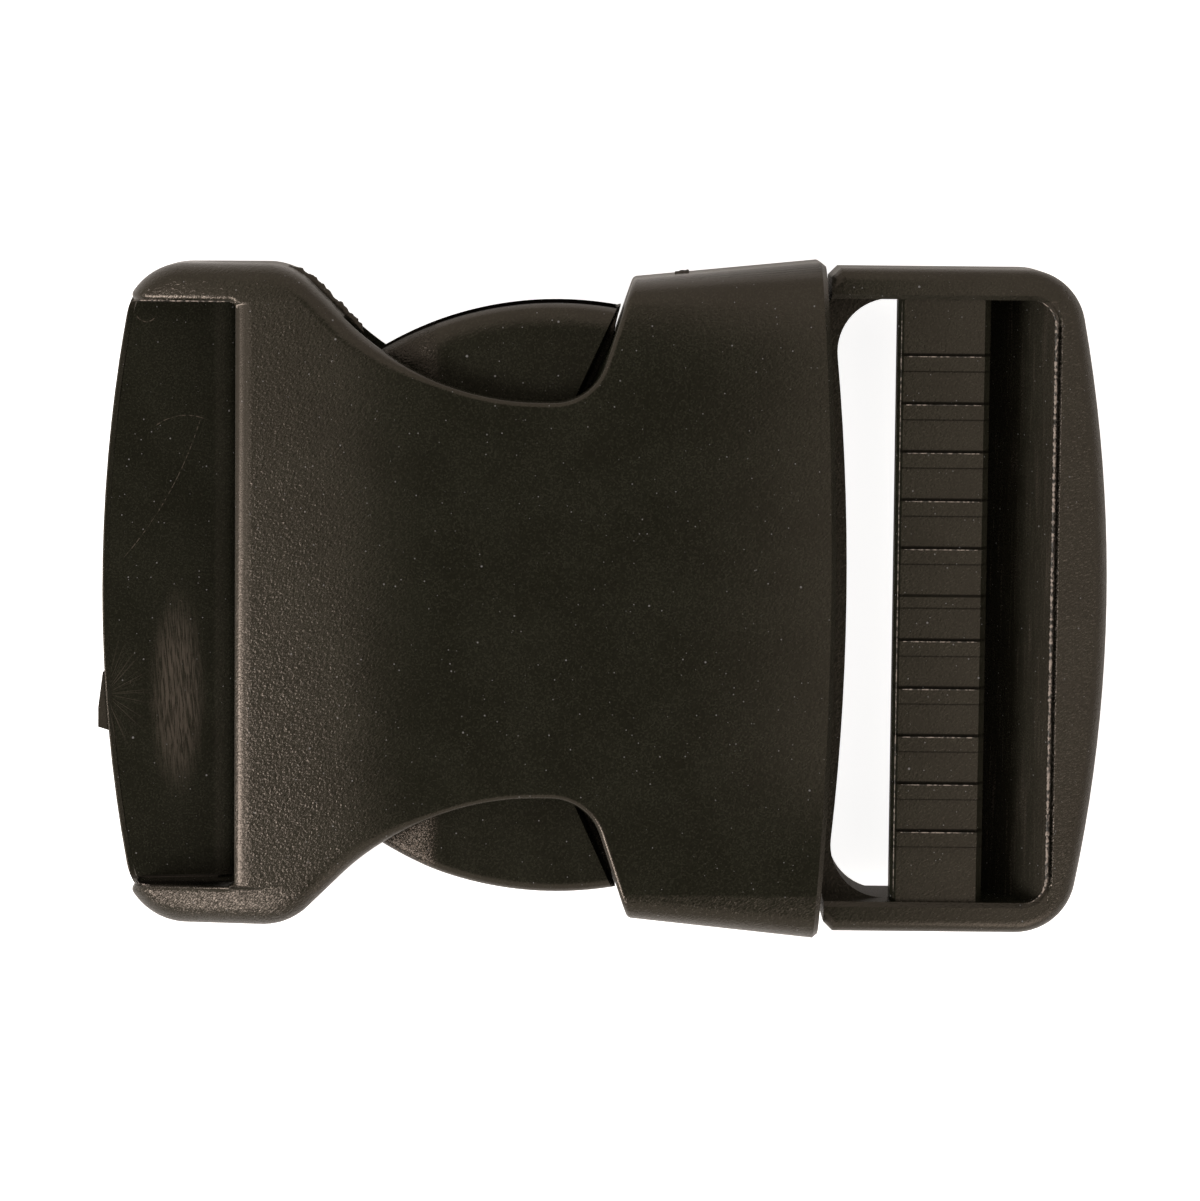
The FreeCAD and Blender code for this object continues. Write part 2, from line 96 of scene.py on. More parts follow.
camera_data = bpy.data.cameras.new("product_camera")
camera_data.sensor_fit = "HORIZONTAL"
camera_data.lens = camera_data.sensor_width * EYE_DISTANCE / FIELD_WIDTH
camera = bpy.data.objects.new("product_camera", camera_data)
eye = Matrix.Translation((AIM[0], AIM[1] + EYE_DISTANCE * math.sin(EYE_LEAN),
                          AIM[2] + EYE_DISTANCE * math.cos(EYE_LEAN)))
camera.matrix_world = eye @ Matrix.Rotation(-EYE_LEAN, 4, "X") @ Matrix.Rotation(EYE_ROLL, 4, "Z")
scene.collection.objects.link(camera)
scene.camera = camera
print("lens", round(camera_data.lens, 1), "mm")

# %% [markdown]
# A glossy black part shows mostly what it mirrors. The buckle was shot in a bright tent with an
# opening in its roof for the camera, so a flat face that looks straight up mirrors the dark
# opening, and a face that tilts by a few degrees mirrors the bright cloth. The world does the
# same: its brightness depends on how far a direction is from the opening, which is longer than it
# is wide. Rays that come from the camera, straight or through something clear, see white paper
# instead.

# %% World
OPENING = (-0.05, -0.09)         # where the opening's middle is, as the X and Y of a direction
OPENING_HALF = (0.29, 0.42)
OPENING_BLUR = (1.25, 0.75)      # from bright to dark, in units of the half width
CLOTH = "#fff4ea"
CLOTH_STRENGTH = 0.85
DARKNESS = "#100f0d"

scene.view_settings.view_transform = "Standard"
world = bpy.data.worlds.new("light_tent")
scene.world = world
world.use_nodes = True
tree = world.node_tree
tree.nodes.clear()
direction = add_node(tree, "ShaderNodeTexCoord")
offset = add_node(tree, "ShaderNodeVectorMath", {0: direction.outputs["Generated"], 1: (*OPENING, 1.0)},
                  operation="SUBTRACT")
squeezed = add_node(tree, "ShaderNodeVectorMath", {0: offset.outputs["Vector"],
                                                   1: (1 / OPENING_HALF[0], 1 / OPENING_HALF[1], 0.0)},
                    operation="MULTIPLY")
away = add_node(tree, "ShaderNodeVectorMath", {0: squeezed.outputs["Vector"]}, operation="LENGTH")
opening = add_node(tree, "ShaderNodeMapRange", {"Value": away.outputs["Value"],
                                                "From Min": OPENING_BLUR[0],
                                                "From Max": OPENING_BLUR[1]},
                   interpolation_type="SMOOTHSTEP")
roof = add_node(tree, "ShaderNodeMix", {"Factor": opening.outputs["Result"]}, data_type="RGBA")
roof.inputs["A"].default_value = colour(CLOTH)
roof.inputs["B"].default_value = colour(DARKNESS)
light = add_node(tree, "ShaderNodeBackground", {"Color": roof.outputs["Result"],
                                                "Strength": CLOTH_STRENGTH})
white = add_node(tree, "ShaderNodeBackground", {"Color": (1.0, 1.0, 1.0, 1.0)})
ray = add_node(tree, "ShaderNodeLightPath")
seen = add_node(tree, "ShaderNodeMath", {0: ray.outputs["Is Camera Ray"],
                                         1: ray.outputs["Is Transmission Ray"]}, operation="MAXIMUM")
backdrop = add_node(tree, "ShaderNodeMixShader", {0: seen.outputs[0], 1: light.outputs[0],
                                                  2: white.outputs[0]})
add_node(tree, "ShaderNodeOutputWorld", {"Surface": backdrop.outputs[0]})
print("light tent:", len(tree.nodes), "nodes")

# %% [markdown]
# A soft box at the lower left gives the long bright line on the lip and the glow on the ear. A
# weaker one at the lower right puts a line of light on the edges of the collar and the frame.

# %% Lamps
def soft_box(name, place, size, power, tint):
    """Square lamp that faces the buckle."""
    data = bpy.data.lights.new(name, "AREA")
    data.size = size
    data.energy = power
    data.color = colour(tint)[:3]
    lamp = bpy.data.objects.new(name, data)
    lamp.location = place
    lamp.rotation_mode = "QUATERNION"
    lamp.rotation_quaternion = (-Vector(place)).to_track_quat("-Z", "Y")
    scene.collection.objects.link(lamp)
    print(name, power, "W")


soft_box("key_soft_box", place=(-0.45, -0.18, 0.40), size=0.24, power=3.2, tint="#fff8f4")
soft_box("fill_soft_box", place=(0.36, -0.42, 0.36), size=0.30, power=0.8, tint="#fff4ea")

# %% [markdown]
# The floor is a sheet of white paper. Its diffuse part takes the buckle's soft shadow. A plain
# glow, which only the camera sees, keeps it white, also through the slots.

# %% Floor
FLOOR_HALF = 2.0
FLOOR_LEVEL = -0.05 * MM       # a hair under the buckle, so that no two faces coincide
PAPER = "#f0f0f0"
GLOW = 0.86

floor_mesh = bpy.data.meshes.new("paper_floor")
floor_mesh.from_pydata([(x * FLOOR_HALF, y * FLOOR_HALF, FLOOR_LEVEL)
                        for x, y in ((-1, -1), (1, -1), (1, 1), (-1, 1))], [], [(0, 1, 2, 3)])
floor = bpy.data.objects.new("paper_floor", floor_mesh)
scene.collection.objects.link(floor)
paper = bpy.data.materials.new("white_paper")
paper.use_nodes = True
tree = paper.node_tree
tree.nodes.clear()
diffuse = add_node(tree, "ShaderNodeBsdfDiffuse", {"Color": colour(PAPER)})
glow = add_node(tree, "ShaderNodeEmission", {"Strength": GLOW})
lit = add_node(tree, "ShaderNodeAddShader", {0: diffuse.outputs[0], 1: glow.outputs[0]})
ray = add_node(tree, "ShaderNodeLightPath")
both = add_node(tree, "ShaderNodeMixShader", {0: ray.outputs["Is Camera Ray"], 1: diffuse.outputs[0],
                                              2: lit.outputs[0]})
add_node(tree, "ShaderNodeOutputMaterial", {"Surface": both.outputs[0]})
floor_mesh.materials.append(paper)
print(floor.name, 2 * FLOOR_HALF, "m wide")

# %% [markdown]
# Both halves are black acetal (POM), injection moulded in a spark-eroded steel mould. Acetal is a
# waxy, semi-glossy plastic, and the mould prints a fine leathery grain on it. So the finish is a
# dark, slightly green base, a satin gloss with a warm tint, and a bump of short worm-like ridges.
# Its recipe says where something lies and how strong it is there, mostly as a value from 0 to 1.
# Such values are multiplied and added, and they change by a soft passage, not at a hard border.

# %% Values of a finish
MATHS = "ShaderNodeMath"


def product_of(tree, *values):
    """Product of sockets or numbers."""
    result = values[0]
    for value in values[1:]:
        result = add_node(tree, MATHS, {0: result, 1: value}, operation="MULTIPLY").outputs[0]
    return result


def sum_of(tree, *values):
    """Sum of sockets or numbers."""
    result = values[0]
    for value in values[1:]:
        result = add_node(tree, MATHS, {0: result, 1: value}, operation="ADD").outputs[0]
    return result


def shaded(tree, value, start, end, low=0.0, high=1.0):
    """Soft passage from low to high while a value goes from start to end."""
    passage = add_node(tree, "ShaderNodeMapRange", {"Value": value, "From Min": start, "From Max": end,
                                                    "To Min": low, "To Max": high},
                       interpolation_type="SMOOTHSTEP")
    return passage.outputs["Result"]


def band(tree, value, start, end, blur):
    """1 while a value is between start and end, and 0 outside them."""
    begun = shaded(tree, value, start - blur, start)
    return product_of(tree, begun, shaded(tree, value, end + blur, end))


# %% [markdown]
# Many faces of a moulding are crowned by a few hundredths of a millimetre, which shows only in what
# they mirror. To draw that as a bump, a face falls away from some place on, like a round of a large
# radius. Wear needs one more measure: how far a point is from a spot on the face.

# %% Crowned faces and distances
def past(tree, value, start, way):
    """How far in mm a value has gone past a place, and 0 before it."""
    distance = add_node(tree, MATHS, {0: value, 1: way, 2: -way * start}, operation="MULTIPLY_ADD")
    return add_node(tree, MATHS, {0: distance.outputs[0], 1: 0.0}, operation="MAXIMUM").outputs[0]


def fall(tree, value, start, way, radius):
    """Height in mm of a face that falls away past a place, as a round of that radius."""
    distance = past(tree, value, start, way)
    return product_of(tree, distance, distance, -0.5 / radius)


def away_from(tree, spot, centre, half=(1.0, 1.0)):
    """Distance on the face from a centre, in units of the half width along X and along Y."""
    offset = add_node(tree, "ShaderNodeVectorMath", {0: spot, 1: (*centre, 0.0)}, operation="SUBTRACT")
    flat = add_node(tree, "ShaderNodeVectorMath", {0: offset.outputs["Vector"],
                                                   1: (1 / half[0], 1 / half[1], 0.0)},
                    operation="MULTIPLY")
    return add_node(tree, "ShaderNodeVectorMath", {0: flat.outputs["Vector"]},
                    operation="LENGTH").outputs["Value"]


# %% [markdown]
# Grain, dust and scratches have a real size in millimetres, so one function draws any texture at
# its size, stretched and turned on the face. Specks and short scratches are then the same thing:
# one mark in each cell of a lattice, round or long. A long scratch is a thin arc that fades out.

# %% Patterns at their real size
NOISE = "ShaderNodeTexNoise"


def pattern(tree, kind, spot, size, lean=0.0, **inputs):
    """Outputs of a texture of this size in mm along X, Y and Z, turned on the face by lean degrees."""
    mapping = add_node(tree, "ShaderNodeMapping", {"Vector": spot, "Scale": size,
                                                   "Rotation": (0.0, 0.0, math.radians(lean))},
                       vector_type="TEXTURE")
    return add_node(tree, kind, {"Vector": mapping.outputs["Vector"], "Scale": 1.0, **inputs}).outputs


def scattered(tree, spot, size, reach, lean=0.0):
    """1 on one mark in each cell of a lattice, of a random size up to reach times the cell."""
    cells = pattern(tree, "ShaderNodeTexVoronoi", spot, size, lean)
    inside = sum_of(tree, cells["Distance"], product_of(tree, cells["Color"], -reach))
    return shaded(tree, inside, 0.0, -0.4 * reach)


def scratch_arc(tree, spot, centre, radius, width, middle, reach):
    """1 on a thin arc drawn on the face, which fades out at its reach from a middle."""
    off = sum_of(tree, away_from(tree, spot, centre), -radius)
    off = add_node(tree, MATHS, {0: off}, operation="ABSOLUTE").outputs[0]
    near = shaded(tree, away_from(tree, spot, middle, (reach, reach)), 1.0, 0.7)
    return product_of(tree, shaded(tree, off, width, 0.3 * width), near)


# %% [markdown]
# The black of both halves. It isn't one black: large clouds and a fine mottling vary it, and the
# mottling is what keeps the flat faces from looking like paint. Over it lies the wear that a
# buckle picks up everywhere, specks of dust and scratches no wider than a hair.

# %% Black of the acetal
BLACKS = ("#15160f", "#1a1b14")       # from cloud to cloud
MOTTLED = ("#0d0d09", "#2b2b24")      # the darkest and the palest of the mottling
CLOUD = (5.0, 5.0, 5.0)               # mm
MOTTLE = (0.16, 0.16, 0.16)           # mm
DUST_CELLS = {0.6: 0.15, 1.6: 0.09}   # mm between specks of dust: their reach as a part of it
SCRATCH_CELLS = {20.0: (9.0, 1.5), -38.0: (7.0, 2.1), 80.0: (11.0, 2.6)}   # lean: length and spacing
SCRATCH_REACH = 0.028                 # half the width of a scratch, as a part of the spacing
FLAT = 1000.0                         # mm, so long in Z that a pattern is the same at every height


def mixed(tree, share, under, over):
    """Colour that goes from under to over by a share; under is a socket or a hex colour."""
    mix = add_node(tree, "ShaderNodeMix", {"Factor": share}, data_type="RGBA")
    if isinstance(under, str):
        mix.inputs["A"].default_value = colour(under)
    else:
        tree.links.new(under, mix.inputs["A"])
    mix.inputs["B"].default_value = colour(over)
    return mix.outputs["Result"]


def uneven_black(tree, spot):
    """Black with clouds and mottling."""
    cloudy = pattern(tree, NOISE, spot, CLOUD, Detail=3.0)["Fac"]
    mottled = pattern(tree, NOISE, spot, MOTTLE, Detail=1.0)["Fac"]
    tone = mixed(tree, shaded(tree, cloudy, 0.35, 0.65), *BLACKS)
    tone = mixed(tree, shaded(tree, mottled, 0.45, 0.62, 0.0, 0.45), tone, MOTTLED[0])
    return mixed(tree, shaded(tree, mottled, 0.48, 0.34, 0.0, 0.3), tone, MOTTLED[1])


def specks_of_dust(tree, spot):
    """1 on specks of two sizes."""
    return sum_of(tree, *[scattered(tree, spot, (cell, cell, cell), reach)
                          for cell, reach in DUST_CELLS.items()])


def short_scratches(tree, spot):
    """1 on short scratches that run three ways."""
    return sum_of(tree, *[scattered(tree, spot, (length, spacing, FLAT), SCRATCH_REACH, lean)
                          for lean, (length, spacing) in SCRATCH_CELLS.items()])


# %% [markdown]
# Acetal bends light by 1.48, and its gloss is a little warm beside the neutral dust. One function
# begins the material with these constants, and another one finishes it from what differs between
# the halves: the depth of the grain and the bulge of the faces in millimetres, pale scuffs, the
# gloss, and dark places, which are painted shade: black without gloss where a face lies in shade
# or would mirror only its dark surroundings.

# %% Acetal
ACETAL_IOR = 1.48
WARM_GLOSS = "#ffeedf"
# The first of these colours is painted shade, the black that shaded places go towards.
PAINTED_SHADE, SCUFF_AND_PAINTED_LIGHT, DUST = "#060504", "#5d544c", "#84868a"
SCRATCH_SHARE, DUST_SHARE = 0.22, 0.45         # how strongly they show
GRAIN = (0.31, 0.15, 0.30)    # mm, length, width and height of a ridge of the grain
GRAIN_LEAN = 35.0             # degrees, how the ridges lie
ROUGHER = {"ridges": 0.06, "scuff": 0.3, "dust": 0.3, "dark": -0.06}   # added to the roughness


def begin_acetal(name):
    """Material with the constants of acetal, its place in mm, and X, Y, Z and |Y| of that place."""
    material = bpy.data.materials.new(name)
    material.use_nodes = True
    tree = material.node_tree
    shader = tree.nodes["Principled BSDF"].inputs
    shader["IOR"].default_value = ACETAL_IOR
    shader["Specular Tint"].default_value = colour(WARM_GLOSS)
    place = add_node(tree, "ShaderNodeTexCoord").outputs["Object"]
    spot = add_node(tree, "ShaderNodeVectorMath", {0: place, "Scale": 1 / MM}, operation="SCALE")
    axes = add_node(tree, "ShaderNodeSeparateXYZ", {0: spot.outputs["Vector"]}).outputs
    half = add_node(tree, MATHS, {0: axes["Y"]}, operation="ABSOLUTE").outputs[0]
    return material, tree, spot.outputs["Vector"], axes["X"], axes["Y"], axes["Z"], half


def finish_acetal(tree, spot, depth, bulge, scuff, gloss, dark=None):
    """Colour, roughness and relief of acetal; dark, the share of painted shade, is left out where
    nothing is.
    """
    shader = tree.nodes["Principled BSDF"].inputs
    ridges = pattern(tree, NOISE, spot, GRAIN, GRAIN_LEAN, Detail=1.5, Distortion=0.7)["Fac"]
    dust = specks_of_dust(tree, spot)
    tone = uneven_black(tree, spot)
    rough = sum_of(tree, gloss, product_of(tree, ridges, ROUGHER["ridges"]),
                   product_of(tree, scuff, ROUGHER["scuff"]), product_of(tree, dust, ROUGHER["dust"]))
    # Where dark is given, shade is painted: the colour goes towards black and the gloss fades.
    if dark is not None:
        tone = mixed(tree, dark, tone, PAINTED_SHADE)
        rough = sum_of(tree, rough, product_of(tree, dark, ROUGHER["dark"]))
        tree.links.new(shaded(tree, dark, 0.0, 1.0, 0.5, 0.0), shader["Specular IOR Level"])
    pale = sum_of(tree, scuff, product_of(tree, short_scratches(tree, spot), SCRATCH_SHARE))
    tone = mixed(tree, pale, tone, SCUFF_AND_PAINTED_LIGHT)
    tone = mixed(tree, product_of(tree, dust, DUST_SHARE), tone, DUST)
    tree.links.new(tone, shader["Base Color"])
    tree.links.new(rough, shader["Roughness"])
    height = sum_of(tree, product_of(tree, ridges, depth), bulge)
    relief = add_node(tree, "ShaderNodeBump", {"Height": height, "Distance": MM})
    tree.links.new(relief.outputs["Normal"], shader["Normal"])


# %% [markdown]
# The socket half. Before its faces can be crowned or worn, the recipe has to know where they lie:
# the two ears, the recess between them, the panel and its lip, the collar and the taper.

# %% Where things lie on the socket half
LIP = -31.35                  # mm, edge of the top panel
LIP_BAND = 1.2                # mm, how far in from there the panel rolls off
EAR_INSIDE = 25.2             # mm, half width of the recess between the ears
PANEL_FOOT = 8.2              # mm, a height between the recess and the top panel
SIDES = (-24.0, -12.0)        # mm, where the lower side passes into the upper one

receiver_acetal, tree, spot, x, y, z, half = begin_acetal("receiver_black_acetal")
ear = shaded(tree, half, EAR_INSIDE - 0.1, EAR_INSIDE + 0.2)
between_ears = shaded(tree, half, EAR_INSIDE + 0.1, EAR_INSIDE - 0.2)
recess = product_of(tree, between_ears, shaded(tree, x, LIP + 0.3, LIP - 0.1),
                    shaded(tree, z, PANEL_FOOT, PANEL_FOOT - 0.4))
panel = shaded(tree, z, PANEL_FOOT, PANEL_FOOT + 0.4)
on_lip = product_of(tree, between_ears, panel,
                    shaded(tree, x, LIP + LIP_BAND + 0.3, LIP + LIP_BAND - 0.3))
upper_side = shaded(tree, y, *SIDES)
lower_side = shaded(tree, y, *reversed(SIDES))
collar = shaded(tree, x, -6.0, 3.0)
taper = shaded(tree, x, -14.0, -27.0)

# %% [markdown]
# The faces of the socket half are crowned where the mould was polished by hand: the collar falls
# away towards the mouth and its upper side, the taper towards the loop, and the ears towards their
# ends. The bump also turns the narrow round of the lip into a broad one that catches the lamp. In
# the recess it does the opposite. The real one is evenly black, so there the bump takes the slope,
# the round nose and the cut edge of the loop bar away from the eye.

# %% Crowned faces of the socket half
COLLAR_FALL = (4.0, 1, 130.0)          # mm: where a face falls away, which way, and the radius
COLLAR_SIDE_FALL = (20.5, 1, 24.0)
PANEL_FALL = (-19.0, -1, 300.0)
UPPER_EAR_FALL = (-30.0, -1, 60.0)
LOWER_EAR_FALL = (-26.0, -1, 30.0)     # steeper, so that this ear catches the lamp,
LOWER_EAR_EASES = (-32.0, -1, -40.0)   # and from here on its slope hardly grows
EAR_CROWN = (EAR_INSIDE, 1, 12.0)
LIP_FALL = (LIP + LIP_BAND, -1, 5.0)
LIP_ROUND = 0.55              # mm, radius of the panel's edge
ROUND_FALL = 2.6              # how steeply the bump falls on it, with the fourth power
FLOOR_SLOPE = 0.2             # the recess floor's fall towards the slot, mm per mm
BAR_NOSE = -33.8              # mm, where the floor rolls off into the slot
NOSE_ROUND = 2.6              # mm, radius of that roll
BOW = (95.4, 138.0)           # mm, X of the bow's centre, and the radius where its edge is cut off
CUT_SLOPE = 1.25              # mm per mm
CUT_RIM = (0.46, -0.8)        # mm from there the slope comes back, and by how much: a thin bright rim

into_round = past(tree, x, LIP + LIP_ROUND, -1)
lip_roll = sum_of(tree, fall(tree, x, *LIP_FALL),
                  product_of(tree, into_round, into_round, into_round, into_round, ROUND_FALL))
from_bow = away_from(tree, spot, (BOW[0], 0.0))
even_floor = sum_of(
    tree,
    product_of(tree, x, FLOOR_SLOPE),
    product_of(tree, past(tree, x, BAR_NOSE, 1), -FLOOR_SLOPE),
    fall(tree, x, BAR_NOSE, 1, -NOSE_ROUND),
    product_of(tree, past(tree, from_bow, BOW[1], 1), CUT_SLOPE),
    product_of(tree, past(tree, from_bow, BOW[1] + CUT_RIM[0], 1), CUT_RIM[1]),
)
bulge = sum_of(
    tree,
    product_of(tree, upper_side, fall(tree, x, *COLLAR_FALL)),
    product_of(tree, collar, fall(tree, y, *COLLAR_SIDE_FALL)),
    product_of(tree, panel, fall(tree, x, *PANEL_FALL)),
    product_of(tree, ear, upper_side, fall(tree, x, *UPPER_EAR_FALL)),
    product_of(tree, ear, lower_side, fall(tree, x, *LOWER_EAR_FALL)),
    product_of(tree, ear, lower_side, fall(tree, x, *LOWER_EAR_EASES)),
    product_of(tree, ear, fall(tree, half, *EAR_CROWN)),
    product_of(tree, between_ears, panel, lip_roll),
    product_of(tree, recess, even_floor),
)

# %% [markdown]
# The grain of the socket half is deepest on the taper, more so on its lower side, and on the lower
# ear, which looks like leather. The recess and the lip are smoother again.

# %% Grain of the socket half
EVEN_DEPTH = 0.018            # mm, of the grain everywhere
TAPER_DEPTH, LOWER_EAR_DEPTH = 0.050, 0.04     # mm, what is added there
RECESS_DEPTH, LIP_DEPTH = -0.05, -0.045        # mm, what is taken away again, as both are on the taper

deeper_below = shaded(tree, y, 22.0, -12.0, 0.45, 1.0)
depth = sum_of(tree, EVEN_DEPTH, product_of(tree, taper, deeper_below, TAPER_DEPTH),
               product_of(tree, ear, lower_side, LOWER_EAR_DEPTH),
               product_of(tree, recess, RECESS_DEPTH), product_of(tree, on_lip, LIP_DEPTH))

# %% [markdown]
# The wear of the socket half is in the recess. Webbing has rubbed a wrinkled patch there, and the
# plastic's flow from the gate has left a fan of fine streaks beside it.

# %% Rubbed patch and flow streaks
RUB = (-36.7, -9.0)           # mm, middle of the rubbed patch
RUB_HALF = (2.1, 7.8)         # mm
WRINKLE = (0.10, 2.0, 1.0)    # mm, a wrinkle is narrow, long and a little turned
WRINKLE_LEAN = 4.0
GATE = (-42.9, -9.0)          # mm, where the streaks fan out from
FAN_REACH = (4.6, 6.0)        # mm
RAYS = 16.0                   # how many streaks there are in one radian of the fan, or so
RUB_SHARE, FAN_SHARE = 0.38, 0.2

wrinkles = pattern(tree, NOISE, spot, WRINKLE, WRINKLE_LEAN, Distortion=0.6)["Fac"]
rub = product_of(tree, shaded(tree, away_from(tree, spot, RUB, RUB_HALF), 1.3, 0.4),
                 shaded(tree, wrinkles, 0.38, 0.62, 0.15), recess, RUB_SHARE)
from_gate = (sum_of(tree, x, -GATE[0]), sum_of(tree, y, -GATE[1]))
angle = add_node(tree, MATHS, {0: from_gate[1], 1: from_gate[0]}, operation="ARCTAN2").outputs[0]
rays = add_node(tree, NOISE, {"W": product_of(tree, angle, RAYS), "Detail": 3.0, "Scale": 1.0},
                noise_dimensions="1D").outputs["Fac"]
fan = product_of(tree, shaded(tree, rays, 0.52, 0.66),
                 shaded(tree, away_from(tree, spot, GATE, FAN_REACH), 1.0, 0.2),
                 shaded(tree, from_gate[0], 0.2, 0.8), recess, FAN_SHARE)

# %% [markdown]
# A few long scratches cross the recess. Each was drawn by one sweep of something hard, so it is
# part of a circle, broken where the floor lies a little lower. Then the material is complete.

# %% Long scratches, and the socket half's finish
LONG_SCRATCHES = (            # mm: centre, radius, width, middle of what shows and its reach
    ((-66.0, 24.0), 32.5, 0.05, (-37.5, 9.0), 8.0),
    ((-39.4, 24.2), 0.9, 0.07, (-39.3, 23.3), 1.2),
    ((-36.0, 11.0), 4.2, 0.05, (-36.5, 15.0), 2.6),
)
GAPS = (0.35, 0.35, 0.35)     # mm, size of the gaps in them
LONG_SHARE = 0.42
RECEIVER_GLOSS = 0.2

scuff = sum_of(tree, rub, fan)
broken = shaded(tree, pattern(tree, NOISE, spot, GAPS)["Fac"], 0.45, 0.6, 0.1)
for centre, radius, width, middle, reach in LONG_SCRATCHES:
    scratch = scratch_arc(tree, spot, centre, radius, width, middle, reach)
    scuff = sum_of(tree, scuff, product_of(tree, scratch, broken, recess, LONG_SHARE))
finish_acetal(tree, spot, depth, bulge, scuff, RECEIVER_GLOSS)
nodes["receiver_body"].data.materials.clear()
nodes["receiver_body"].data.materials.append(receiver_acetal)
print(receiver_acetal.name, len(tree.nodes), "nodes")

# %% [markdown]
# The plug half is the same plastic from another mould. Again the recipe starts with where things
# lie: the frame with its end bar, the deep inner wall of that bar, the ribbed middle bar, the pads
# of the two arms and their tips.

# %% Where things lie on the plug half
WALL = (33.25, 38.85)         # mm, from the middle bar to the edge of the end bar
WALL_HALF = 25.95
BAR = (25.3, 33.2)            # mm, the middle bar from edge to edge
BAR_HALF = 25.9
BAR_TOP = 10.0                # mm, a height just under its face
TIP = (-13.6, -14.8)          # mm, where a pad's flat top passes into its sloping tip
PAD_ARC = (-3.8, -4.5, 30.0)  # mm, centre and radius of a pad's outer face

latch_acetal, tree, spot, x, y, z, half = begin_acetal("latch_black_acetal")
wall = product_of(tree, band(tree, x, *WALL, 0.05), shaded(tree, half, WALL_HALF, WALL_HALF - 0.1))
frame_side = shaded(tree, x, 16.0, 20.0)
end_bar = shaded(tree, x, WALL[1], WALL[1] + 0.4)
on_bar = product_of(tree, band(tree, x, *BAR, 0.05), shaded(tree, half, BAR_HALF, BAR_HALF - 0.2),
                    shaded(tree, z, BAR_TOP - 0.3, BAR_TOP))
pad_tip = product_of(tree, shaded(tree, x, *TIP), shaded(tree, half, 14.0, 15.0))
upper_pad = product_of(tree, shaded(tree, y, 12.0, 14.0), shaded(tree, x, 3.0, 1.0))
from_arc = away_from(tree, spot, PAD_ARC[:2])

# %% [markdown]
# The frame has an even, leathery grain and bows a little, so that it mirrors more of the bright
# cloth than the flat arms do. The upper pad is crowned along its outer edge. The inner wall of the
# end bar was polished, so that it drops out of the mould: there the grain gives way to fine
# upright streaks.

# %% Relief of the plug half
FRAME_FALL = (16.0, 1, 95.0)  # mm: where a face falls away, which way, and the radius
PAD_FALL = (PAD_ARC[2] - 2.5, 1, 4.8)
FRAME_DEPTH, END_BAR_DEPTH = 0.015, 0.06    # mm, what the grain is deeper there
WALL_DEPTH, TIP_DEPTH = -0.05, 0.05
STREAK = (0.24, 7.0, 3.0)     # mm
STREAK_DEPTH = 0.01           # mm

streaks = pattern(tree, NOISE, spot, STREAK, Detail=1.0)["Fac"]
depth = sum_of(tree, EVEN_DEPTH, product_of(tree, frame_side, FRAME_DEPTH),
               product_of(tree, end_bar, END_BAR_DEPTH), product_of(tree, wall, WALL_DEPTH),
               product_of(tree, pad_tip, TIP_DEPTH))
bulge = sum_of(tree, fall(tree, x, *FRAME_FALL),
               product_of(tree, upper_pad, fall(tree, from_arc, *PAD_FALL)),
               product_of(tree, wall, streaks, STREAK_DEPTH))

# %% [markdown]
# Along each rib of the middle bar runs a painted shadow line, broad on its upper side and thin on
# its lower one. The ribs repeat, so the place of a line is found by wrapping the half width at the
# ribs' pitch: one recipe then draws them all.

# %% Painted shadow beside the ribs
FIRST_RIB = 3.97              # mm, from the middle of the bar to the first rib on each side
RIB_PITCH = 4.14
RIB_HALF = 0.65
LAST_RIB = 21.4
BROAD_LINE, THIN_LINE = 0.17, 0.08    # mm, their widths

beside = add_node(tree, MATHS, {0: sum_of(tree, half, -FIRST_RIB), 1: RIB_PITCH / 2, 2: -RIB_PITCH / 2},
                  operation="WRAP").outputs[0]
side = add_node(tree, MATHS, {0: y}, operation="SIGN").outputs[0]
beside = product_of(tree, beside, side)
# A painted shadow line on each side of a rib.
rib_painted_shadow = sum_of(tree, band(tree, beside, RIB_HALF, RIB_HALF + BROAD_LINE, 0.10),
                  product_of(tree, band(tree, beside, -RIB_HALF - THIN_LINE, -RIB_HALF, 0.07), 0.8))
rib_painted_shadow = product_of(tree, rib_painted_shadow, on_bar, shaded(tree, half, LAST_RIB + 0.2, LAST_RIB))

# %% [markdown]
# What else is dark is painted shade: on the polished wall, in a line along the edge above it that
# hides that edge's highlight, and on the outer face of the upper pad, which is seen so flat that it
# mirrors the shaded paper below, a reflection painted on here. The tips of the pads are darker too.
# They are speckled as well, because they rub on the socket each time, the lower one more than the
# upper one; there the pale specks are partly wear and partly a painted glint of the lamp.

# %% Wear, painted shade and finish of the plug half
# Along the edge above the wall a dark line is painted, as painted shade over its highlight.
RIM = (38.85, 39.2)           # mm, the dark line above the wall
RIM_HALF = 24.5
SPECKLE = (0.13, 0.13, 0.13)  # mm
# The lower tip gets more pale specks than the upper one, partly wear and partly a painted glint.
TIP_WEAR_AND_PAINTED_GLINT = (0.12, 0.85)       # on the upper and the lower tip
# These shares are of painted shade; the outer face is wholly painted dark.
DARK_WALL, DARK_TIP, DARK_LINE = 0.15, 0.3, 0.7    # shares; the outer face is wholly dark
LATCH_GLOSS = 0.22

speckle = pattern(tree, NOISE, spot, SPECKLE, Detail=1.0)["Fac"]
tip_wear_and_painted_glint = shaded(tree, y, 12.0, -12.0, *TIP_WEAR_AND_PAINTED_GLINT)
# On the wall the pale streaks are streaks of the polish and also painted light that lifts the wall out
# of its shade.
scuff = sum_of(tree, product_of(tree, wall, shaded(tree, streaks, 0.45, 0.85, 0.04, 0.13)),
               product_of(tree, pad_tip, shaded(tree, speckle, 0.52, 0.66), tip_wear_and_painted_glint))
